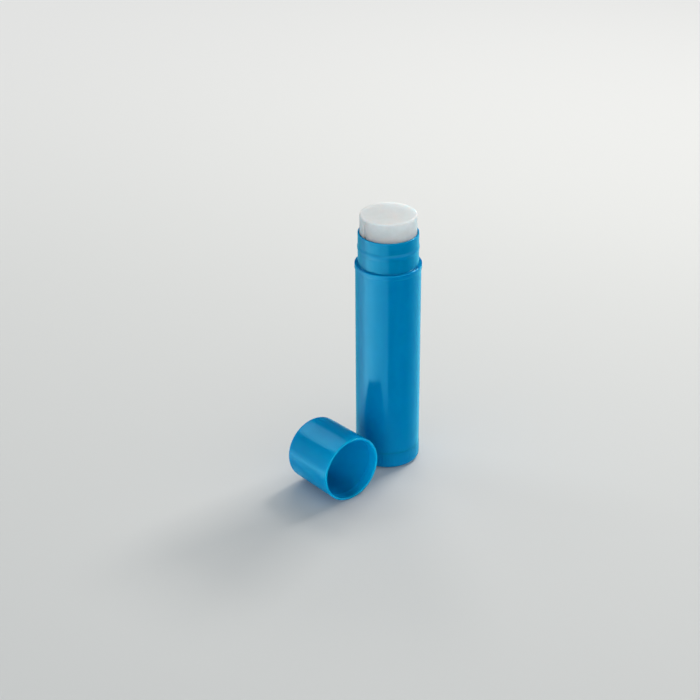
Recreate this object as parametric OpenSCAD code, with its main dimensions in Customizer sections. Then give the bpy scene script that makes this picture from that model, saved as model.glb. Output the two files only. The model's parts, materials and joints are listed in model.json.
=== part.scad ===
// Lip balm stick with its cap off and the balm wound up a little.
// The tube stands on the XY plane with its axis on Z. The cap lies on its side in front of it.
// Lengths are in millimetres and angles in degrees.

/* [Barrel] */
// Outer diameter of the body just under its raised lip
tube_d = 16.0; // [15.4:0.1:18]
// How much narrower the body is at its foot
tube_taper = 0.36; // [0:0.02:0.5]
// Wall of the body at the lip's foot
barrel_wall = 1.05; // [0.95:0.01:1.3]
// Height of the shoulder above the surface
shoulder_h = 53.4; // [46:0.2:60]
// Height of the raised lip under the shoulder
lip_h = 1.2; // [0.6:0.1:2.5]
// How far the lip stands out
lip_t = 0.15; // [0.05:0.01:0.3]
// Rounding of the lip's upper edge
lip_round = 0.2; // [0.1:0.05:0.4]
// Thickness of the web that carries the spindle
web_t = 1.2; // [0.8:0.1:2]

/* [Neck] */
// Height of the neck above the shoulder
neck_h = 8.0; // [7:0.1:10]
// Wall of the neck
neck_wall = 0.43; // [0.36:0.01:0.5]
// Height of the snap bead's middle above the shoulder
bead_up = 4.2; // [3.8:0.1:5.5]
// Height of the snap bead
bead_w = 2.0; // [1.2:0.1:2.4]
// How far the snap bead stands out
bead_t = 0.13; // [0.08:0.01:0.18]

/* [Keys] */
// Width of the two keys along the bore
key_w = 0.9; // [0.6:0.05:1.4]
// How far the keys stand into the bore
key_t = 0.3; // [0.15:0.01:0.32]
// Angle of the first key from +X
key_turn = 35; // [0:1:90]
// Distance of the keys' upper ends under the rim
key_under = 1.0; // [0.5:0.1:3]

/* [Dial] */
// Height of the dial's visible band
dial_h = 4.2; // [3.4:0.1:6]
// How much wider than the body's foot the dial is
dial_proud = 0.24; // [0:0.02:0.4]
// Rounding of the dial's lower edge
dial_round = 1.2; // [0.6:0.1:1.8]
// Rounding of the two edges beside the seam
seam_round = 0.15; // [0.05:0.01:0.25]
// Gap of the seam between dial and barrel
seam_gap = 0.12; // [0.06:0.01:0.3]
// Number of grip flutes
flute_count = 60; // [36:2:72]
// Depth of a flute
flute_t = 0.12; // [0.05:0.01:0.2]
// Radius of a flute
flute_r = 0.3; // [0.22:0.01:0.36]
// Plain stretch over the flutes
flute_under = 0.35; // [0.2:0.05:0.8]
// Thickness of the dial's floor
dial_floor = 1.2; // [0.8:0.1:1.8]
// Height of the spigot that stands up into the barrel
spigot_h = 1.2; // [0.8:0.1:2]
// Wall of the spigot
spigot_wall = 1.0; // [0.7:0.1:1.5]
// Diameter of the boss round the socket
boss_d = 6.8; // [6:0.1:8]

/* [Spindle] */
// Diameter across the corners of the hexagonal end
hex_d = 4.2; // [3.6:0.1:4.4]
// Diameter of the journal in the web
journal_d = 4.6; // [4.5:0.1:5.4]
// Diameter of the flange over the web
flange_d = 7.2; // [6.4:0.1:9]
// Thickness of the flange
flange_t = 0.9; // [0.6:0.1:1.5]
// Diameter of the rod at the thread's root
rod_d = 3.5; // [3:0.1:3.8]
// Diameter of the rod at the thread's crest
thread_d = 4.7; // [4.4:0.1:5]
// Rise of the thread in one turn
thread_lead = 3.0; // [2.8:0.1:3.6]
// Width of the thread's crest
crest_w = 1.0; // [0.8:0.05:1.1]
// Slope of each flank of the thread
flank_angle = 30; // [20:1:34]
// Distance of the spindle's tip under the neck's rim
tip_under = 7.4; // [6:0.1:12]
// Bevel of the spindle's tip
tip_bevel = 0.5; // [0.2:0.1:1]

/* [Carrier] */
// Height of the cup's wall above its floor
cup_h = 4.5; // [3:0.1:7]
// Wall of the cup
cup_wall = 0.6; // [0.5:0.01:0.9]
// Thickness of the cup's floor
cup_floor = 1.0; // [0.7:0.1:1.6]
// Height of the skirt under the floor
skirt_h = 2.5; // [1.5:0.1:3.2]
// Diameter of the hub
hub_d = 7.0; // [6.6:0.1:8]
// How far the hub hangs under the floor
hub_down = 3.0; // [2.6:0.1:4]
// How far the hub stands above the floor
hub_up = 1.0; // [0.5:0.1:2]
// Turns of thread in the nut
nut_turns = 1.1; // [0.8:0.1:1.1]
// How far the ring that grips the balm stands out
grip_t = 0.2; // [0.1:0.05:0.3]
// Height of the grip ring
grip_w = 0.8; // [0.5:0.1:1.4]
// Distance of the grip ring's middle under the cup's edge
grip_under = 1.0; // [0.8:0.1:1.6]

/* [Balm] */
// How far the carrier is wound up from its lowest place
wound_up = 5.0; // [0:0.1:40]
// Distance of the balm's top under the rim when it is wound right down
balm_under = 0.1; // [0:0.1:1]
// Width of the raised rim round the balm's top
rim_w = 0.55; // [0.3:0.05:1.2]
// Depth of the dish inside that rim
dish_t = 0.25; // [0.1:0.05:0.6]
// Rounding of the balm's upper edge
balm_round = 0.3; // [0.15:0.05:0.4]

/* [Cap] */
// Length of the cap
cap_len = 15.35; // [14.8:0.05:22]
// Thickness of its closed end
cap_end = 1.0; // [0.7:0.1:1.5]
// How much narrower the closed end is
cap_taper = 0.4; // [0:0.02:0.6]
// Outer rounding of the closed end
cap_round = 1.2; // [0.6:0.1:2]
// Inner rounding of the closed end
cap_inner_round = 0.6; // [0.3:0.1:1.2]
// Rounding of the mouth's edges
mouth_round = 0.15; // [0.05:0.01:0.2]
// Height of the snap ring's middle above the mouth
snap_up = 2.4; // [1.6:0.1:2.6]
// Height of the snap ring
snap_w = 1.2; // [0.8:0.1:1.4]

/* [Cap place] */
// Place of the mouth's centre along X
cap_x = -9.0; // [-12:0.1:-6]
// Place of the mouth's centre along Y
cap_y = -21.4; // [-30:0.1:-21]
// Direction from the mouth to the closed end, from +X
cap_turn = 129.4; // [110:0.2:150]

/* [Clearances] */
// Radial gap of the spindle's journal in the web
run_gap = 0.05; // [0.02:0.01:0.08]
// End play of the web, on each side
end_gap = 0.06; // [0.03:0.01:0.15]
// Radial gap of the spigot in the barrel
spigot_gap = 0.1; // [0.05:0.01:0.2]
// Radial gap of the carrier in the bore
slide_gap = 0.1; // [0.05:0.01:0.15]
// Radial gap of the balm in the bore
balm_gap = 0.06; // [0.03:0.01:0.1]
// Gap of the notches and grooves round the keys
key_gap = 0.1; // [0.05:0.01:0.15]
// Radial gap between the threads
thread_gap = 0.15; // [0.12:0.01:0.2]
// Gap at each flank of the threads
flank_gap = 0.22; // [0.1:0.01:0.24]
// Gap under the hub when it is wound right down
down_gap = 0.1; // [0.05:0.05:0.4]
// Gap at the spindle's two ends
tip_gap = 0.3; // [0.1:0.1:0.6]
// Radial gap of the cap's bore over the snap bead
cap_gap = 0.04; // [0.02:0.01:0.08]
// Radial gap of the cap's snap ring over the neck
snap_gap = 0.06; // [0.02:0.01:0.1]

/* [Hidden] */
$fn = 96;
blue = [0.0, 0.45, 0.68];
pale = [0.86, 0.87, 0.86];
wax = [0.93, 0.93, 0.91];
// Points along a quarter arc, along a bump, and along one turn of thread
arc_steps = 6;
bump_steps = 8;
turn_steps = 16;
// How far a part reaches into the one it is fused with
bite = 0.2;

tube_r = tube_d / 2;
foot_r = tube_r - tube_taper / 2;
lip_r = tube_r + lip_t;
bore_r = tube_r - barrel_wall;
neck_r = bore_r + neck_wall;
bead_r = neck_r + bead_t;
neck_top = shoulder_h + neck_h;
key_top = neck_top - key_under;
key_in_r = bore_r - key_t;

dial_r = foot_r + dial_proud / 2;
spigot_r = bore_r - spigot_gap;
pocket_r = spigot_r - spigot_wall;
boss_r = boss_d / 2;
spigot_top = dial_h + spigot_h;
barrel_foot = dial_h + seam_gap;
web_low = spigot_top + end_gap;
web_top = web_low + web_t;

journal_r = journal_d / 2;
flange_low = web_top + end_gap;
flange_top = flange_low + flange_t;
rod_r = rod_d / 2;
thread_r = thread_d / 2;
spindle_top = neck_top - tip_under;
thread_low = flange_top + crest_w;
thread_turns = (spindle_top - tip_bevel - crest_w - thread_low) / thread_lead;

guide_r = bore_r - slide_gap;
notch_r = key_in_r - key_gap;
cup_r = guide_r - cup_wall;
hub_r = hub_d / 2;
nut_bore_r = thread_r + thread_gap;
nut_crest_r = rod_r + thread_gap;
hub_low = flange_top + down_gap + wound_up;
floor_low = hub_low + hub_down;
floor_top = floor_low + cup_floor;
hub_top = floor_top + hub_up;
skirt_low = floor_low - skirt_h;
cup_top = floor_top + cup_h;
grip_z = cup_top - grip_under;
nut_low = (hub_low + hub_top - nut_turns * thread_lead) / 2;

balm_r = bore_r - balm_gap;
balm_top = neck_top - balm_under + wound_up;
hole_r = nut_bore_r;
hole_top = spindle_top + tip_gap + wound_up;
groove_top = key_top + key_gap + wound_up;

cap_r = lip_r;
cap_end_r = cap_r - cap_taper / 2;
cap_bore_r = bead_r + cap_gap;
cap_wall = cap_r - cap_bore_r;
snap_t = cap_bore_r - (neck_r + snap_gap);
cap_lean = atan((cap_r - cap_end_r) / cap_len);

// Points of an arc about a centre, from one angle to another
function arc(centre, r, from, to) =
    [for (i = [0:arc_steps])
        let (a = from + (to - from) * i / arc_steps)
        centre + r * [cos(a), sin(a)]];

// Points of a smooth bump on a wall at radius r, going up, t high and w tall
function bump(r, middle, w, t) =
    [for (i = [0:bump_steps])
        [r + t * pow(sin(180 * i / bump_steps), 2), middle - w / 2 + w * i / bump_steps]];

// The same points in the opposite order
function reversed(points) = [for (i = [len(points) - 1:-1:0]) points[i]];

// Radius of the tapered body and of the tapered cap at a height
function body_r(z) = foot_r + (tube_r - foot_r) * (z - barrel_foot) / (shoulder_h - barrel_foot);
function cap_out_r(z) = cap_r - (cap_r - cap_end_r) * z / cap_len;
function cap_in_r(z) = cap_out_r(z) - cap_wall;

// Width of the spindle's thread at a radius, and of the nut's thread that runs between its turns
function thread_w(r) = crest_w + 2 * (thread_r - r) * tan(flank_angle);
function nut_w(r) = thread_lead - 2 * flank_gap - thread_w(r);

// Left-hand helical ridge from one radius to another, w_in wide at r_in and w_out wide at r_out.
// It starts at turn u0 of the spindle's thread, lifted by shift, and is closed at both ends.
module ridge(u0, turns, r_in, r_out, w_in, w_out, shift) {
    rings = ceil(turns * turn_steps);
    section = [[r_in, -w_in / 2], [r_out, -w_out / 2], [r_out, w_out / 2], [r_in, w_in / 2]];
    points = [for (k = [0:rings])
        let (u = u0 + turns * k / rings, a = -360 * u, z = thread_low + shift + thread_lead * u)
        for (p = section) [p[0] * cos(a), p[0] * sin(a), z + p[1]]];
    sides = [for (k = [0:rings - 1], j = [0:3])
        let (a = 4 * k + j, b = 4 * k + (j + 1) % 4)
        for (f = [[a, a + 4, b], [b, a + 4, b + 4]]) f];
    last = 4 * rings;
    ends = [[0, 1, 2], [0, 2, 3], [last + 2, last + 1, last], [last + 3, last + 2, last]];
    polyhedron(points = points, faces = concat(sides, ends));
}

// A bar beside the axis at each of the two keys, from r_in to r_out
module at_keys(r_in, r_out, w, low, high) {
    for (side = [0, 180])
        rotate([0, 0, key_turn + side])
            translate([r_in, -w / 2, low])
                cube([r_out - r_in, w, high - low]);
}

// Body and neck in one moulding, open at the top, with the web at its foot
module barrel() {
    lip_low = shoulder_h - lip_h;
    rim_r = neck_wall / 3;
    outline = concat(
        [[bore_r, barrel_foot], [foot_r - seam_round, barrel_foot]],
        arc([foot_r - seam_round, barrel_foot + seam_round], seam_round, -90, 0),
        [[body_r(lip_low - lip_t), lip_low - lip_t], [lip_r, lip_low]],
        arc([lip_r - lip_round, shoulder_h - lip_round], lip_round, 0, 90),
        [[neck_r, shoulder_h]],
        bump(neck_r, shoulder_h + bead_up, bead_w, bead_t),
        arc([neck_r - rim_r, neck_top - rim_r], rim_r, 0, 90),
        arc([bore_r + rim_r, neck_top - rim_r], rim_r, 90, 180),
        [[bore_r, web_top], [journal_r + run_gap, web_top], [journal_r + run_gap, web_low], [bore_r, web_low]]
    );
    color(blue) {
        rotate_extrude() polygon(outline);
        at_keys(key_in_r, bore_r + bite, key_w, web_top - bite, key_top);
    }
}

// Turning base with its fluted band, its spigot and the hexagonal socket in its boss
module dial() {
    flute_low = dial_round + flute_under;
    outline = concat(
        [[0, 0]],
        arc([dial_r - dial_round, dial_round], dial_round, -90, 0),
        arc([dial_r - seam_round, dial_h - seam_round], seam_round, 0, 90),
        [[spigot_r, dial_h], [spigot_r, spigot_top], [pocket_r, spigot_top], [pocket_r, dial_floor],
         [boss_r, dial_floor], [boss_r, spigot_top], [0, spigot_top]]
    );
    color(blue)
        difference() {
            rotate_extrude() polygon(outline);
            for (i = [0:flute_count - 1])
                rotate([0, 0, 360 * i / flute_count])
                    translate([dial_r + flute_r - flute_t, 0, flute_low])
                        cylinder(r = flute_r, h = dial_h - flute_under - flute_low, $fn = 24);
            translate([0, 0, dial_floor])
                cylinder(d = hex_d, h = spigot_top, $fn = 6);
        }
}

// Threaded rod with the flange over the web, the journal in it and the hexagonal end below
module spindle() {
    outline = [[0, spigot_top], [journal_r, spigot_top], [journal_r, flange_low], [flange_d / 2, flange_low],
               [flange_d / 2, flange_top], [rod_r, flange_top], [rod_r, spindle_top - tip_bevel],
               [rod_r - tip_bevel, spindle_top], [0, spindle_top]];
    root_r = rod_r - bite;
    color(pale) {
        translate([0, 0, dial_floor + tip_gap])
            cylinder(d = hex_d, h = spigot_top + bite - dial_floor - tip_gap, $fn = 6);
        rotate_extrude() polygon(outline);
        ridge(0, thread_turns, root_r, thread_r, thread_w(root_r), crest_w, 0);
    }
}

// Cup that holds the balm, with the nut in its hub and notches on the keys
module carrier() {
    edge = cup_wall / 2;
    outline = concat(
        [[cup_r, skirt_low], [guide_r, skirt_low], [guide_r, cup_top - edge], [guide_r - edge, cup_top],
         [cup_r, cup_top]],
        reversed(bump(cup_r, grip_z, grip_w, -grip_t)),
        [[cup_r, floor_top], [hub_r, floor_top], [hub_r, hub_top], [nut_bore_r, hub_top],
         [nut_bore_r, hub_low], [hub_r, hub_low], [hub_r, floor_low], [cup_r, floor_low]]
    );
    nut_root_r = nut_bore_r + bite;
    nut_turn = (nut_low - thread_low - thread_lead / 2) / thread_lead;
    color(pale) {
        difference() {
            rotate_extrude() polygon(outline);
            at_keys(notch_r, bore_r, key_w + 2 * key_gap, skirt_low - bite, cup_top + bite);
        }
        ridge(nut_turn, nut_turns, nut_crest_r, nut_root_r, nut_w(nut_crest_r), nut_w(nut_root_r),
              thread_lead / 2);
    }
}

// Cast stick in the cup, with the hole round the spindle and the grooves of the keys
module balm() {
    dish_r = balm_r - rim_w;
    dish_z = balm_top - dish_t;
    edge = cup_wall / 2;
    outline = concat(
        [[hole_r, hub_top], [hub_r, hub_top], [hub_r, floor_top], [cup_r, floor_top]],
        bump(cup_r, grip_z, grip_w, -grip_t),
        [[cup_r, cup_top], [guide_r - edge, cup_top], [balm_r, cup_top]],
        arc([balm_r - balm_round, balm_top - balm_round], balm_round, 0, 90),
        [[dish_r, balm_top - dish_t / 3], [dish_r - dish_t, dish_z], [0, dish_z], [0, hole_top],
         [hole_r, hole_top]]
    );
    color(wax)
        difference() {
            rotate_extrude() polygon(outline);
            at_keys(key_in_r - key_gap, bore_r, key_w + 2 * key_gap, cup_top - bite, groove_top);
        }
}

// The cap with its mouth on the XY plane and its closed end up
module cap_upright() {
    outline = concat(
        arc([cap_r - mouth_round, mouth_round], mouth_round, -90, 0),
        arc([cap_out_r(cap_len) - cap_round, cap_len - cap_round], cap_round, 0, 90),
        [[0, cap_len], [0, cap_len - cap_end]],
        arc([cap_in_r(cap_len - cap_end) - cap_inner_round, cap_len - cap_end - cap_inner_round],
            cap_inner_round, 90, 0),
        reversed(bump(cap_in_r(snap_up), snap_up, snap_w, -snap_t)),
        arc([cap_in_r(0) + mouth_round, mouth_round], mouth_round, 180, 270)
    );
    rotate_extrude() polygon(outline);
}

// The cap on its side, touching the surface along its tapered wall
module cap() {
    color(blue)
        translate([cap_x, cap_y, cap_r * cos(cap_lean)])
            rotate([0, 90 + cap_lean, cap_turn])
                cap_upright();
}

barrel();
dial();
spindle();
carrier();
balm();
cap();
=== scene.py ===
import json
import math

import bmesh
import bpy
from mathutils import Matrix, Vector, noise

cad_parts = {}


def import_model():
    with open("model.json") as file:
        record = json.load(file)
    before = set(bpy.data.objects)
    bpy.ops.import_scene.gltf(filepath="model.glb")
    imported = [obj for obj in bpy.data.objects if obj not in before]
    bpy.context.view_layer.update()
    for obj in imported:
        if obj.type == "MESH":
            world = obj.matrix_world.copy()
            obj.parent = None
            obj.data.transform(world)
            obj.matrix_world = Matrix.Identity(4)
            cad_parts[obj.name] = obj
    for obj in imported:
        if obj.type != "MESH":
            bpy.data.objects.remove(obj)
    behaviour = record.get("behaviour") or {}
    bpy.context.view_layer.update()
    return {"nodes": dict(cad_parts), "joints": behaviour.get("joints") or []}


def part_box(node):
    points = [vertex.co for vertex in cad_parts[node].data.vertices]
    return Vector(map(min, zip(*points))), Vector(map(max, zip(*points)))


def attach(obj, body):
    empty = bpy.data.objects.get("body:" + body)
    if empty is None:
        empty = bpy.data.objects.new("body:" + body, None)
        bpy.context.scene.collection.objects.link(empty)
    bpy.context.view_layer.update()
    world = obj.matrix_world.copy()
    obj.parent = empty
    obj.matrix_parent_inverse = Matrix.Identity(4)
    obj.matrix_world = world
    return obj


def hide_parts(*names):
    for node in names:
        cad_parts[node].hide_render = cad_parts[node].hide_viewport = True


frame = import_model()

MM = 0.001
TURN = 2 * math.pi

# Difference below which two lengths in millimetres count as the same
FLAT = 0.001

# Sizes read from the frame, in millimetres
barrel_low, barrel_high = [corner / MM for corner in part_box("barrel")]
dial_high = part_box("dial")[1] / MM
balm_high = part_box("balm")[1] / MM
carrier_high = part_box("carrier")[1] / MM

LIP_R = barrel_high.x
NECK_TOP = barrel_high.z
BARREL_FOOT = barrel_low.z
DIAL_R = dial_high.x
BALM_R = balm_high.x
BALM_TOP = balm_high.z
CUP_TOP = carrier_high.z

# Barrel
BODY_R = 8.0
FOOT_R = DIAL_R - 0.03
BORE_R = 6.95
SHOULDER_Z = 53.4
LIP_H = 1.2
LIP_STEP = LIP_R - BODY_R
LIP_ROUND = 0.2
LIP_BREAK_IN = 0.02
LIP_BREAK_UP = 0.03
NECK_R = 7.38
BEAD_Z = SHOULDER_Z + 4.2
BEAD_W = 2.0
BEAD_T = 0.13
NECK_FILLET = 0.12
WEB_LOW = 5.46
WEB_TOP = 6.66
WEB_HOLE_R = 2.35

# Keys in the bore and the grooves that they leave in the balm. KEY_EDGE is an angle in radians.
KEY_ANGLES = [math.radians(35), math.radians(215)]
KEY_W = 0.9
KEY_T = 0.3
KEY_TOP = NECK_TOP - 1.0
KEY_GAP = 0.1
KEY_END = 0.001
KEY_EDGE = 0.0006

# Dial
DIAL_H = 4.31
DIAL_ROUND = 1.2
SEAM_ROUND = 0.02
FLUTES = 60
FLUTE_T = 0.04
FLUTE_W = 0.5
FLUTE_LOW = 1.3
FLUTE_TOP = 3.5
FLUTE_END = 0.25
SPIGOT_R = 6.85
SPIGOT_TOP = 5.4
POCKET_R = 5.85
DIAL_FLOOR = 1.2
BOSS_R = 3.4
SOCKET_R = 2.1
GATE_R = 0.6
GATE_T = 0.08

# Balm
BALM_ROUND = 0.5
DOME_T = 0.12
RIM_W = 0.3
RIM_T = 0.04
SKIN_SINK = 0.05
SKIN_FADE = 0.8
GROOVE_UP = 0.1
GROOVE_ROUND = 0.12
HOLE_R = 2.5
HOLE_TOP = 59.3

# Cap, with the place of its mouth's centre
CAP_LEN = 15.35
CAP_R = LIP_R
CAP_END_R = CAP_R - 0.2
CAP_WALL = 0.6
CAP_END = 1.0
CAP_ROUND = 1.2
CAP_INNER_ROUND = 0.6
MOUTH_ROUND = 0.27
SNAP_UP = 2.4
SNAP_W = 1.2
SNAP_T = 0.11
CAP_X = -9.0
CAP_Y = -21.4

# Photograph's camera
CAMERA_PLACE = (-9.309, -422.225, 253.803)
CAMERA_PITCH = 0.48841
CAMERA_ROLL = -0.00567
CAMERA_LENS = 99.98
SENSOR_W = 36.0

# Lamps
LAMP_AIM = (0, 0, 20)
LAMP_TINT = (1.0, 0.955, 0.9)

# Table, and the near floor that gloss sees in its place round the cap, painted in a blue shade: lengths in
# metres
TABLE_HALF = 3.0
TABLE_Z = -0.00001
NEAR_HALF = 0.06
NEAR_Z = -0.000005
FADE_FROM = 0.15
FADE_TO = 0.45
NEAR_FROM = 0.018
NEAR_TO = 0.034

# Finishes and painted light, as linear colours
BLUE = (0.0, 0.245, 0.505)
# Cap: the barrel's blue made lighter, partly for light lost through its thin wall, partly painted light on
# the cap, which the tube shades, and on its inside
CAP_BLUE_PAINTED_LIGHTER = (0.0, 0.285, 0.62)
BLUE_GLEAM = (0.2, 0.82, 1.0)
CAP_GLEAM = (0.15, 0.82, 1.0)
MILKY = (0.72, 0.74, 0.72)
WAX = (0.645, 0.65, 0.645)
TABLE = (0.68, 0.685, 0.68)
# Near floor: darker and bluer than the table, a painted blue shade that gloss sees round the cap
NEAR_PAINTED_BLUE_SHADE = (0.2, 0.55, 0.7)
BACKDROP = (0.76, 0.765, 0.76)


def arc(centre, r, start, end, steps=8):
    """Points of an arc, its angles in degrees."""
    points = []
    for i in range(steps + 1):
        a = math.radians(start + (end - start) * i / steps)
        points.append((centre[0] + r * math.cos(a), centre[1] + r * math.sin(a)))
    return points


def bump(r, middle, w, t, steps=16):
    """Points of a smooth bump on a wall at radius r, going up."""
    return [
        (r + t * math.sin(math.pi * i / steps) ** 2, middle - w / 2 + w * i / steps)
        for i in range(steps + 1)
    ]


def even_angles(steps):
    return [TURN * i / steps for i in range(steps)]


def keyed_angles(half_width, steps=240):
    """Even angles with a pair of close ones at each edge of both keys."""
    angles = even_angles(steps)
    for key in KEY_ANGLES:
        angles = [a for a in angles if abs(math.remainder(a - key, TURN)) > half_width + 2 * KEY_EDGE]
        for side in (-1, 1):
            angles += [key + side * (half_width - KEY_EDGE), key + side * (half_width + KEY_EDGE)]
        angles.append(key)
    return sorted(angles)


def at_key(angle, half_width):
    return any(abs(math.remainder(angle - key, TURN)) <= half_width for key in KEY_ANGLES)


def turned(name, outline, angles, shape=None, sharp=40):
    """Closed solid turned about Z. shape(r, z, angle, index) may move a point of the outline in or out."""
    bm = bmesh.new()
    rings = []
    for index, (r, z) in enumerate(outline):
        if r == 0:
            rings.append([bm.verts.new((0, 0, z * MM))] * len(angles))
            continue
        ring = []
        for angle in angles:
            at = shape(r, z, angle, index) if shape else r
            ring.append(bm.verts.new((at * math.cos(angle) * MM, at * math.sin(angle) * MM, z * MM)))
        rings.append(ring)
    count = len(angles)
    for i in range(len(rings)):
        low, high = rings[i], rings[(i + 1) % len(rings)]
        for k in range(count):
            corners = [low[k], low[(k + 1) % count], high[(k + 1) % count], high[k]]
            face = list(dict.fromkeys(corners))
            if len(face) > 2:
                bm.faces.new(face)
    bmesh.ops.recalc_face_normals(bm, faces=bm.faces)
    mesh = bpy.data.meshes.new(name)
    bm.to_mesh(mesh)
    bm.free()
    piece = bpy.data.objects.new(name, mesh)
    bpy.context.scene.collection.objects.link(piece)
    for polygon in mesh.polygons:
        polygon.use_smooth = True
    mesh.set_sharp_from_angle(angle=math.radians(sharp))
    return piece


def body_r(z):
    return FOOT_R + (BODY_R - FOOT_R) * (z - BARREL_FOOT) / (SHOULDER_Z - BARREL_FOOT)


def barrel():
    """Body and neck in one moulding, with the keys in its bore."""
    rim = (NECK_R - BORE_R) / 3
    lip_low = SHOULDER_Z - LIP_H
    flare_low = lip_low - LIP_STEP
    outside = (
        arc((FOOT_R - SEAM_ROUND, BARREL_FOOT + SEAM_ROUND), SEAM_ROUND, -90, 0)
        + [(body_r(z), z) for z in (20, 40, flare_low)]
        + [(LIP_R - LIP_BREAK_IN, lip_low - LIP_BREAK_IN), (LIP_R, lip_low + LIP_BREAK_UP)]
        + arc((LIP_R - LIP_ROUND, SHOULDER_Z - LIP_ROUND), LIP_ROUND, 0, 90)
        + arc((NECK_R + NECK_FILLET, SHOULDER_Z + NECK_FILLET), NECK_FILLET, 270, 180)
        + bump(NECK_R, BEAD_Z, BEAD_W, BEAD_T)
        + arc((NECK_R - rim, NECK_TOP - rim), rim, 0, 90)
        + arc((BORE_R + rim, NECK_TOP - rim), rim, 90, 180)
    )
    key_start = len(outside) + 1
    inside = [(BORE_R, KEY_TOP), (BORE_R, KEY_TOP - KEY_END), (BORE_R, WEB_TOP)]
    foot = [(WEB_HOLE_R, WEB_TOP), (WEB_HOLE_R, WEB_LOW), (BORE_R, WEB_LOW), (BORE_R, BARREL_FOOT)]
    half = math.asin(KEY_W / 2 / BORE_R)

    def keyed(r, z, angle, index):
        inward = index in (key_start, key_start + 1) and at_key(angle, half)
        return r - KEY_T if inward else r

    return turned("barrel_shell", outside + inside + foot, keyed_angles(half), keyed)


def flute_window(z):
    """How much of a flute's depth is there at a height: it runs out smoothly at both ends."""
    rise = min(z - FLUTE_LOW, FLUTE_TOP - z) / FLUTE_END
    rise = max(0.0, min(1.0, rise))
    return math.sqrt(1 - (1 - rise) ** 2)


def dial():
    """Turning base with its fluted band, spigot and boss."""
    pitch = TURN / FLUTES
    band_rows = 24
    end_rows = 6
    heights = {FLUTE_LOW + (FLUTE_TOP - FLUTE_LOW) * i / band_rows for i in range(band_rows + 1)}
    heights |= {FLUTE_LOW + FLUTE_END * i / end_rows for i in range(1, end_rows)}
    band = [(DIAL_R, z) for z in sorted(heights)]
    outline = (
        [(0, GATE_T), (GATE_R, GATE_T), (GATE_R + GATE_T, 0)]
        + arc((DIAL_R - DIAL_ROUND, DIAL_ROUND), DIAL_ROUND, -90, 0, 12)
        + band
        + arc((DIAL_R - SEAM_ROUND, DIAL_H - SEAM_ROUND), SEAM_ROUND, 0, 90)
        + [(SPIGOT_R, DIAL_H), (SPIGOT_R, SPIGOT_TOP), (POCKET_R, SPIGOT_TOP), (POCKET_R, DIAL_FLOOR)]
        + [(BOSS_R, DIAL_FLOOR), (BOSS_R, SPIGOT_TOP), (SOCKET_R, SPIGOT_TOP), (SOCKET_R, DIAL_FLOOR)]
        + [(0, DIAL_FLOOR)]
    )

    def fluted(r, z, angle, index):
        if r < DIAL_R - FLAT:
            return r
        off = abs(math.remainder(angle, pitch)) * DIAL_R / (FLUTE_W / 2)
        if off >= 1:
            return r
        return r - FLUTE_T * flute_window(z) * (1 - off * off)

    return turned("dial_shell", outline, even_angles(FLUTES * 12), fluted)


def balm_skin(x, y):
    """Small unevenness of the cast top, in millimetres."""
    broad = noise.noise(Vector((x * 0.35, y * 0.35, 3.1))) * 0.03
    streak = noise.noise(Vector(((x + y) * 1.3, (x - y) * 0.6, 7.7))) * 0.008
    return broad + streak


def balm():
    """Cast stick with a rounded edge and a low, uneven dome for its top."""
    dome_r = BALM_R - BALM_ROUND
    flat_r = dome_r - RIM_W
    edge_z = BALM_TOP - DOME_T
    middle_z = BALM_TOP - RIM_T
    groove_top = KEY_TOP + KEY_GAP + (BALM_TOP - NECK_TOP + GROOVE_UP)
    side = [(BALM_R, z) for z in (CUP_TOP, 40, 55, groove_top - GROOVE_ROUND, groove_top)]
    crest = arc((dome_r, edge_z - BALM_ROUND), BALM_ROUND, 0, 90, 10)
    rim_rows = 4
    rim = []
    for i in range(1, rim_rows + 1):
        fall = math.sin(math.pi / 2 * i / rim_rows) ** 2
        rim.append((dome_r - RIM_W * i / rim_rows, edge_z - RIM_T * fall))
    rows = 30
    shares = [1 - i / rows for i in range(1, rows)]
    dome = [(flat_r * share, middle_z - DOME_T * share ** 2) for share in shares]
    under = [(0, middle_z), (0, HOLE_TOP), (HOLE_R, HOLE_TOP), (HOLE_R, CUP_TOP)]
    outline = side + crest + rim + dome + under
    half = math.asin((KEY_W / 2 + KEY_GAP) / BALM_R)
    groove_t = BALM_R - (BORE_R - KEY_T - KEY_GAP)
    grooved_to = len(side) - 1

    def grooved(r, z, angle, index):
        inward = index < grooved_to and at_key(angle, half)
        return r - groove_t if inward else r

    piece = turned("balm_stick", outline, keyed_angles(half), grooved)
    for vertex in piece.data.vertices:
        x, y, z = [c / MM for c in vertex.co]
        r = math.hypot(x, y)
        if z > edge_z - RIM_T - FLAT and r < flat_r:
            share = min(1.0, (flat_r - r) / SKIN_FADE)
            vertex.co.z += (balm_skin(x, y) - SKIN_SINK) * share * MM
    return piece


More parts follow.
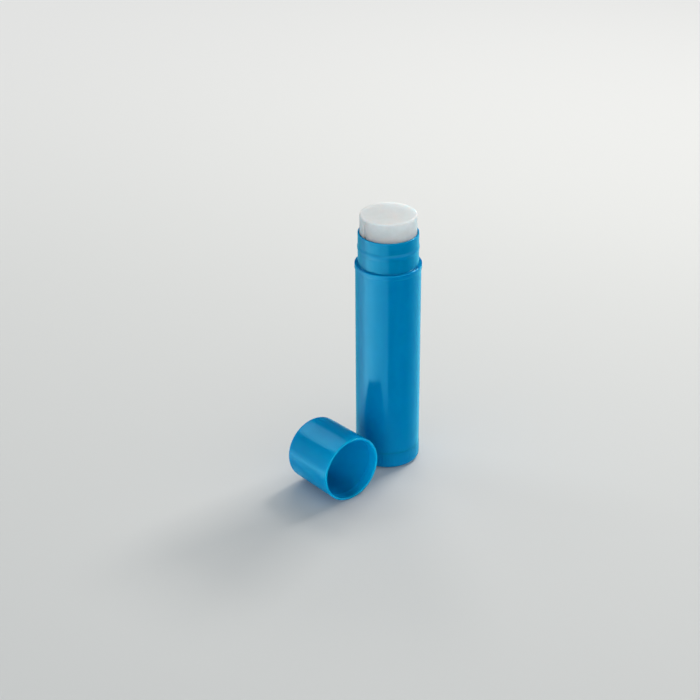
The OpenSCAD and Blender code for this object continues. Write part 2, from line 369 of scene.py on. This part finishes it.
def cap():
    """Thin cup with a low snap ring, turned upright and then laid on its side."""
    def out_r(z):
        return CAP_R - (CAP_R - CAP_END_R) * z / CAP_LEN

    def in_r(z):
        return out_r(z) - CAP_WALL

    inner_z = CAP_LEN - CAP_END
    snap = bump(in_r(SNAP_UP), SNAP_UP, SNAP_W, -SNAP_T)
    outline = (
        arc((CAP_R - MOUTH_ROUND, MOUTH_ROUND), MOUTH_ROUND, -90, 0)
        + [(out_r(5), 5), (out_r(10), 10)]
        + arc((CAP_END_R - CAP_ROUND, CAP_LEN - CAP_ROUND), CAP_ROUND, 0, 90, 14)
        + [(GATE_R + GATE_T, CAP_LEN), (GATE_R, CAP_LEN - GATE_T), (0, CAP_LEN - GATE_T)]
        + [(0, inner_z)]
        + arc((in_r(inner_z) - CAP_INNER_ROUND, inner_z - CAP_INNER_ROUND), CAP_INNER_ROUND, 90, 0, 10)
        + [(in_r(9), 9)]
        + snap[::-1]
        + arc((in_r(0) + MOUTH_ROUND, MOUTH_ROUND), MOUTH_ROUND, 180, 270)
    )
    piece = turned("cap_shell", outline, even_angles(240))
    slide = next(j for j in frame["joints"] if j["name"] == "cap_slide")
    turn = math.atan2(slide["axis"][1], slide["axis"][0])
    lean = math.atan((CAP_R - CAP_END_R) / CAP_LEN)
    place = Matrix.Translation(Vector((CAP_X, CAP_Y, CAP_R * math.cos(lean))) * MM)
    lay = Matrix.Rotation(turn, 4, "Z") @ Matrix.Rotation(math.pi / 2 + lean, 4, "Y")
    piece.data.transform(place @ lay)
    return piece


def node(tree, kind, inputs=None, **settings):
    """A new node. An input is a value, or the output of another node, which is linked."""
    made = tree.nodes.new(kind)
    for name, value in settings.items():
        setattr(made, name, value)
    for name, value in (inputs or {}).items():
        socket = made.inputs[name]
        if isinstance(value, bpy.types.NodeSocket):
            tree.links.new(value, socket)
        else:
            socket.default_value = value
    return made


def new_material(name):
    material = bpy.data.materials.new(name)
    material.use_nodes = True
    tree = material.node_tree
    tree.nodes.clear()
    shader = node(tree, "ShaderNodeBsdfPrincipled")
    output = node(tree, "ShaderNodeOutputMaterial")
    tree.links.new(shader.outputs["BSDF"], output.inputs["Surface"])
    place = node(tree, "ShaderNodeTexCoord").outputs["Object"]
    return material, tree, shader, place


def noise_at(tree, place, size_mm, detail=3.0, roughness=0.5):
    """Noise with features of about that size."""
    made = node(
        tree,
        "ShaderNodeTexNoise",
        {"Vector": place, "Scale": 1 / (size_mm * MM), "Detail": detail, "Roughness": roughness},
    )
    return made.outputs["Fac"]


def ranged(tree, value, low, high, from_low=0.3, from_high=0.7):
    made = node(
        tree,
        "ShaderNodeMapRange",
        {"Value": value, "From Min": from_low, "From Max": from_high, "To Min": low, "To Max": high},
    )
    return made.outputs["Result"]


def mixed(tree, factor, a, b):
    made = node(tree, "ShaderNodeMix", data_type="RGBA")
    tree.links.new(factor, made.inputs["Factor"])
    made.inputs["A"].default_value = (*a, 1)
    made.inputs["B"].default_value = (*b, 1)
    return made.outputs["Result"]


def scaled(colour, factor):
    return tuple(c * factor for c in colour)


def bumped(tree, height, depth_mm):
    made = node(tree, "ShaderNodeBump", {"Height": height, "Strength": 1.0, "Distance": depth_mm * MM})
    return made.outputs["Normal"]


def subsurface(shader, weight, radius, scale_mm):
    shader.inputs["Subsurface Weight"].default_value = weight
    shader.inputs["Subsurface Radius"].default_value = radius
    shader.inputs["Subsurface Scale"].default_value = scale_mm * MM


def plastic(name, colour, gleam, rough, clear):
    """Moulded plastic: slightly uneven colour, fine orange peel and a soft gloss.

    Light goes clear millimetres into it, and gleam tints its gloss.
    """
    material, tree, shader, place = new_material(name)
    cloud = ranged(tree, noise_at(tree, place, 6.0, 2.0), 0.0, 1.0)
    tone = mixed(tree, cloud, scaled(colour, 0.97), scaled(colour, 1.03))
    tree.links.new(tone, shader.inputs["Base Color"])
    haze = noise_at(tree, place, 1.8, 4.0)
    tree.links.new(ranged(tree, haze, rough - 0.02, rough + 0.03), shader.inputs["Roughness"])
    peel = noise_at(tree, place, 0.35, 2.0)
    tree.links.new(bumped(tree, peel, 0.0012), shader.inputs["Normal"])
    shader.inputs["IOR"].default_value = 1.5
    shader.inputs["Specular Tint"].default_value = (*gleam, 1)
    subsurface(shader, 1.0, (0.1, 0.85, 1.0), clear)
    return material


def milky_plastic():
    """Natural, slightly translucent moulding of the inner pieces."""
    material, tree, shader, place = new_material("milky_plastic")
    cloud = ranged(tree, noise_at(tree, place, 2.5), 0.0, 1.0)
    tone = mixed(tree, cloud, scaled(MILKY, 0.94), scaled(MILKY, 1.05))
    tree.links.new(tone, shader.inputs["Base Color"])
    tree.links.new(ranged(tree, noise_at(tree, place, 0.8), 0.3, 0.42), shader.inputs["Roughness"])
    tree.links.new(bumped(tree, noise_at(tree, place, 0.2), 0.002), shader.inputs["Normal"])
    subsurface(shader, 0.5, (1.0, 1.0, 0.9), 0.8)
    return material


def balm_wax():
    """Cast wax: milky and translucent, with faint crystal mottling and a soft sheen."""
    material, tree, shader, place = new_material("balm_wax")
    crystal = noise_at(tree, place, 1.4, 4.0, 0.6)
    cloud = ranged(tree, crystal, 0.0, 1.0, 0.35, 0.65)
    tone = mixed(tree, cloud, scaled(WAX, 0.97), scaled(WAX, 1.02))
    tree.links.new(tone, shader.inputs["Base Color"])
    tree.links.new(ranged(tree, crystal, 0.4, 0.5), shader.inputs["Roughness"])
    grain = noise_at(tree, place, 0.3, 4.0)
    tree.links.new(bumped(tree, grain, 0.004), shader.inputs["Normal"])
    shader.inputs["IOR"].default_value = 1.44
    shader.inputs["Specular IOR Level"].default_value = 0.12
    subsurface(shader, 1.0, (0.7, 1.0, 1.15), 7.0)
    return material


def dress(piece, body, slot, material, *nodes):
    piece.data.materials.clear()
    piece.data.materials.append(material)
    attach(piece, body)
    if nodes:
        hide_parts(*nodes)


def dress_node(name, material):
    """A CAD node that shows as it is, in a better material."""
    piece = frame["nodes"][name]
    if not piece.material_slots:
        piece.data.materials.append(material)
    for place in piece.material_slots:
        place.material = material


def camera():
    data = bpy.data.cameras.new("camera")
    data.lens = CAMERA_LENS
    data.sensor_width = SENSOR_W
    data.clip_start = 0.01
    data.clip_end = 50
    seen = bpy.data.objects.new("camera", data)
    bpy.context.scene.collection.objects.link(seen)
    tilt = Matrix.Rotation(math.pi / 2 - CAMERA_PITCH, 4, "X") @ Matrix.Rotation(CAMERA_ROLL, 4, "Z")
    seen.matrix_world = Matrix.Translation(Vector(CAMERA_PLACE) * MM) @ tilt
    bpy.context.scene.camera = seen


def softbox(name, place, size, radiance):
    """Warm lamp aimed at the tube. Its place and its width and height are in millimetres."""
    data = bpy.data.lights.new(name, "AREA")
    data.shape = "RECTANGLE"
    data.size = size[0] * MM
    data.size_y = size[1] * MM
    data.energy = radiance * math.pi * data.size * data.size_y
    data.color = LAMP_TINT
    lamp = bpy.data.objects.new(name, data)
    bpy.context.scene.collection.objects.link(lamp)
    lamp.location = Vector(place) * MM
    lamp.rotation_euler = (Vector(LAMP_AIM) - Vector(place)).to_track_quat("-Z", "Y").to_euler()
    return lamp


def plane(name, half, z):
    """Square of the table, centred under the tube."""
    mesh = bpy.data.meshes.new(name)
    corners = [(-half, -half, z), (half, -half, z), (half, half, z), (-half, half, z)]
    mesh.from_pydata(corners, [], [(0, 1, 2, 3)])
    piece = bpy.data.objects.new(name, mesh)
    bpy.context.scene.collection.objects.link(piece)
    return piece


def matte(name, colour):
    """A plain, dull material for the table."""
    material, tree, shader, place = new_material(name)
    shader.inputs["Base Color"].default_value = (*colour, 1)
    shader.inputs["Roughness"].default_value = 0.9
    shader.inputs["Specular IOR Level"].default_value = 0.1
    return material, tree, shader, place


def floor():
    """Pale table, hidden from gloss. Gloss sees a near floor painted in a blue shade round the cap instead,
    and the studio's pale and dark sides elsewhere.
    """
    table = plane("floor", TABLE_HALF, TABLE_Z)
    material, tree, shader, place = matte("floor", TABLE)
    table.data.materials.append(material)
    table.visible_glossy = False

    # Far from the object the table turns into the pale backdrop, as the camera sees it
    far = node(tree, "ShaderNodeVectorMath", {0: place}, operation="LENGTH").outputs["Value"]
    fade = ranged(tree, far, 0.0, 1.0, FADE_FROM, FADE_TO)
    seen = node(tree, "ShaderNodeLightPath").outputs["Is Camera Ray"]
    share = node(tree, "ShaderNodeMath", {0: fade, 1: seen}, operation="MULTIPLY").outputs["Value"]
    pale = node(tree, "ShaderNodeEmission", {"Color": (*BACKDROP, 1), "Strength": 1.0})
    surface = blended(tree, share, shader.outputs["BSDF"], pale.outputs["Emission"])
    output = next(n for n in tree.nodes if n.type == "OUTPUT_MATERIAL")
    tree.links.new(surface, output.inputs["Surface"])

    # Only gloss sees the near floor, which runs out away from the cap; its colour is a painted blue shade
    near = plane("near_floor_painted_blue_shade", NEAR_HALF, NEAR_Z)
    material, tree, shader, place = matte("near_floor_painted_blue_shade", NEAR_PAINTED_BLUE_SHADE)
    cap_low, cap_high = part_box("cap")
    middle = (cap_low + cap_high) / 2
    away = node(
        tree,
        "ShaderNodeVectorMath",
        {0: place, 1: (middle.x, middle.y, 0)},
        operation="DISTANCE",
    )
    cover = ranged(tree, away.outputs["Value"], 1.0, 0.0, NEAR_FROM, NEAR_TO)
    tree.links.new(cover, shader.inputs["Alpha"])
    near.data.materials.append(material)
    near.visible_camera = False
    near.visible_diffuse = False
    near.visible_transmission = False
    near.visible_shadow = False


def by_azimuth(tree, around, stops, full):
    """Colours by azimuth, as shares of full. Each stop is an azimuth in degrees, a radiance and a tint."""
    ramp = node(tree, "ShaderNodeValToRGB", {"Fac": around})
    elements = ramp.color_ramp.elements
    while len(elements) < len(stops):
        elements.new(0.5)
    for element, (azimuth, radiance, tint) in zip(elements, stops):
        element.position = azimuth / 360 + 0.5
        element.color = (*scaled(tint, radiance / full), 1)
    return ramp.outputs["Color"]


def shining(tree, colour, strength):
    made = node(tree, "ShaderNodeBackground", {"Color": colour, "Strength": strength})
    return made.outputs["Background"]


def blended(tree, share, first, second):
    return node(tree, "ShaderNodeMixShader", {0: share, 1: first, 2: second}).outputs["Shader"]


def world():
    """Studio: soft light above, a pale panel at the back left, and below, for gloss alone, its sides.

    The radial gradient runs from 0 to 1 as the azimuth runs from -180 to 180 degrees. Below the horizon
    only gloss sees the world, since the table hides it from all other rays. The camera sees a plain backdrop.
    """
    sky = bpy.data.worlds.new("studio")
    bpy.context.scene.world = sky
    sky.use_nodes = True
    tree = sky.node_tree
    tree.nodes.clear()
    direction = node(tree, "ShaderNodeTexCoord").outputs["Generated"]
    radial = node(tree, "ShaderNodeTexGradient", {"Vector": direction}, gradient_type="RADIAL")
    around = radial.outputs["Fac"]
    height = node(tree, "ShaderNodeSeparateXYZ", {"Vector": direction}).outputs["Z"]

    cool = (0.9, 0.985, 1.04)
    pale_side = (0.5, 0.9, 1.0)
    dark_side = (0.2, 0.85, 1.0)
    low_down = ranged(tree, height, 3.8, 0.5, 0.2, 0.6)
    above = shining(tree, by_azimuth(tree, around, [
        (-180, 0.3, cool),
        (-150, 0.85, cool),
        (-125, 1.1, cool),
        (-90, 1.05, cool),
        (-45, 1.1, cool),
        (0, 0.7, cool),
        (45, 0.12, cool),
        (80, 0.02, cool),
        (150, 0.04, cool),
        (180, 0.3, cool),
    ], 2.0), low_down)
    panel = shining(tree, by_azimuth(tree, around, [
        (95, 0.0, cool),
        (103, 0.8, cool),
        (122, 1.5, cool),
        (144, 2.2, cool),
        (157.5, 2.4, cool),
        (158.5, 0.0, cool),
    ], 4.0), 4.0)
    below = shining(tree, by_azimuth(tree, around, [
        (-180, 4.3, pale_side),
        (-168, 5.0, pale_side),
        (-156, 5.6, pale_side),
        (-144, 5.3, pale_side),
        (-132, 4.4, pale_side),
        (-110, 2.8, pale_side),
        (-91, 1.9, pale_side),
        (-89, 0.0, dark_side),
        (-20, 0.0, dark_side),
        (-9, 0.3, dark_side),
        (5, 0.65, dark_side),
        (23, 1.3, dark_side),
        (58, 1.6, dark_side),
        (72, 0.85, pale_side),
        (90, 0.75, pale_side),
        (120, 0.7, dark_side),
        (140, 0.9, dark_side),
        (161, 1.5, pale_side),
        (177, 2.9, pale_side),
        (180, 4.3, pale_side),
    ], 6.0), 6.0)

    # The panel's lower and upper edges
    foot = ranged(tree, height, 0.0, 1.0, 0.55, 0.62)
    head = ranged(tree, height, 1.0, 0.0, 0.76, 0.84)
    window = node(tree, "ShaderNodeMath", {0: foot, 1: head}, operation="MULTIPLY").outputs["Value"]
    dark = shining(tree, (0, 0, 0, 1), 0.0)
    framed = blended(tree, window, dark, panel)

    top = shining(tree, (*cool, 1), ranged(tree, height, 0.0, 0.25, 0.8, 0.9))
    sides = node(tree, "ShaderNodeAddShader", {0: above, 1: top}).outputs["Shader"]
    upper = node(tree, "ShaderNodeAddShader", {0: sides, 1: framed}).outputs["Shader"]
    both = blended(tree, ranged(tree, height, 0.0, 1.0, -0.35, -0.05), below, upper)
    backdrop = shining(tree, (*BACKDROP, 1), 1.0)
    seen = node(tree, "ShaderNodeLightPath").outputs["Is Camera Ray"]
    node(tree, "ShaderNodeOutputWorld", {"Surface": blended(tree, seen, both, backdrop)})


camera()
world()
floor()
softbox("key", (390, 460, 620), (300, 160), 29.0)
back = softbox("back", (60, 600, 600), (420, 160), 9.0)
back.visible_glossy = False

blue = plastic("blue_plastic", BLUE, BLUE_GLEAM, 0.14, 2.0)
dial_blue = plastic("dial_plastic", scaled(BLUE, 0.97), BLUE_GLEAM, 0.17, 2.0)
# The cap's lighter blue is partly painted light, brightening the shaded cap and its inside
cap_blue_painted_lighter = plastic("cap_plastic", CAP_BLUE_PAINTED_LIGHTER, CAP_GLEAM, 0.13, 4.5)
milky = milky_plastic()
wax = balm_wax()

dress(barrel(), "barrel", "blue_plastic", blue, "barrel")
dress(dial(), "dial", "dial_plastic", dial_blue, "dial")
dress(balm(), "carrier", "balm_wax", wax, "balm")
dress(cap(), "cap", "cap_plastic", cap_blue_painted_lighter, "cap")
dress_node("spindle", milky)
dress_node("carrier", milky)

bpy.context.scene.view_settings.view_transform = "Standard"
